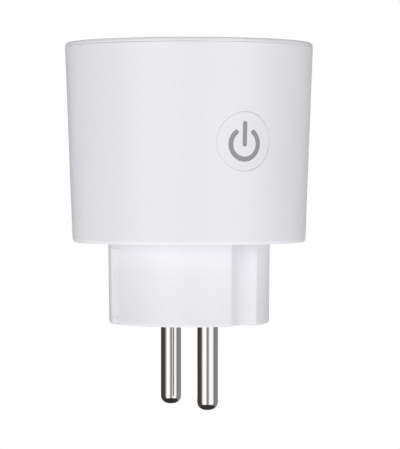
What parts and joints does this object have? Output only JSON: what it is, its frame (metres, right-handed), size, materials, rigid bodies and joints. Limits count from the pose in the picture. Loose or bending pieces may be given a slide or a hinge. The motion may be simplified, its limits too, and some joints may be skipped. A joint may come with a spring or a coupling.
{
  "type": "plug-through power meter",
  "caption": "Tapered round plug-through mains meter with a recessed earthed socket in its top, an earthed round plug with two pins below and a push button in its side.",
  "frame": {"origin": "centre of the plug's flat face, midway between the two pins", "axes": "+Z from the plug up to the socket; the pins stand on the Y axis; the button faces -Y"},
  "size_m": [0.058, 0.058, 0.0853],
  "materials": {
    "white_shell": "satin injection-moulded polycarbonate",
    "symbol_grey": "translucent grey light guide",
    "nickel_pin": "polished nickel plating",
    "plated_strip": "nickel-plated spring strip",
    "spring_brass": "rolled brass strip",
    "zinc_screw": "zinc-plated screw",
    "white_nylon": "matt natural nylon",
    "black_plastic": "matt black moulding",
    "green_board": "solder mask over glass-fibre laminate",
    "relay_plastic": "blue relay cover",
    "soft_iron": "zinc-plated soft iron",
    "winding_copper": "enamelled copper wire",
    "capacitor_sleeve": "shrink sleeve",
    "yellow_case": "film capacitor case",
    "blue_ceramic": "epoxy-coated ceramic disc",
    "lamp_epoxy": "clear lamp body"
  },
  "bodies": {
    "housing": {"board_screws": "zinc_screw", "bridge_rectifier": "black_plastic", "buck_converter": "black_plastic", "control_board": "green_board", "earth_link": "spring_brass", "fusible_resistor": "blue_ceramic", "header_pins": "spring_brass", "inductor": "winding_copper", "line_contact": "spring_brass", "line_pin": "nickel_pin", "main_shell": "white_shell", "metering_chip": "black_plastic", "neutral_contact": "spring_brass", "neutral_pin": "nickel_pin", "pin_header": "black_plastic", "plug_base": "white_shell", "plug_earth_strap": "plated_strip", "plug_earth_tulip": "spring_brass", "power_board": "green_board", "radio_module": "green_board", "radio_shield": "plated_strip", "relay_base": "black_plastic", "relay_bobbin": "white_nylon", "relay_core": "soft_iron", "relay_cover": "relay_plastic", "relay_fixed_contact": "winding_copper", "relay_winding": "winding_copper", "relay_yoke": "soft_iron", "retainer_screws": "zinc_screw", "shunt_resistor": "winding_copper", "shutter_retainer": "white_nylon", "shutter_spring": "zinc_screw", "smoothing_capacitors": "capacitor_sleeve", "socket_cover": "white_shell", "socket_earth_strap": "plated_strip", "status_lamps": "lamp_epoxy", "tact_dome": "plated_strip", "tact_housing": "black_plastic", "tact_plate": "plated_strip", "thermal_fuse": "plated_strip", "varistor": "blue_ceramic", "voltage_regulator": "black_plastic", "x_capacitor": "yellow_case"},
    "button": {"button_cap": "white_shell", "button_light_guide": "symbol_grey"},
    "switch_plunger": {"tact_plunger": "white_nylon"},
    "shutter": {"shutter": "white_nylon"},
    "relay_armature": {"relay_armature": "soft_iron", "relay_moving_contact": "winding_copper"}
  },
  "joints": [
    {"name": "button_press", "type": "slide", "parent": "housing", "child": "button", "axis": [0, 1, 0], "range_m": [0, 0.0003], "stiffness_N_per_m": 1500, "springref_m": -0.0002},
    {"name": "switch_press", "type": "slide", "parent": "housing", "child": "switch_plunger", "axis": [0, 1, 0], "range_m": [0, 0.0003]},
    {"name": "shutter_turn", "type": "hinge", "parent": "housing", "child": "shutter", "pos_m": [0, 0, 0.0441], "axis": [0, 0, 1], "range_deg": [0, 36], "stiffness_Nm_per_rad": 0.004, "springref_deg": -20.05},
    {"name": "relay_pull", "type": "hinge", "parent": "housing", "child": "relay_armature", "pos_m": [0.01225, 0.0044, 0.0383], "axis": [1, 0, 0], "range_deg": [0, 3.3], "stiffness_Nm_per_rad": 0.02, "springref_deg": -5.73}
  ],
  "couplings": [
    {"joint": "switch_press", "follows": "button_press", "ratio": 1}
  ]
}
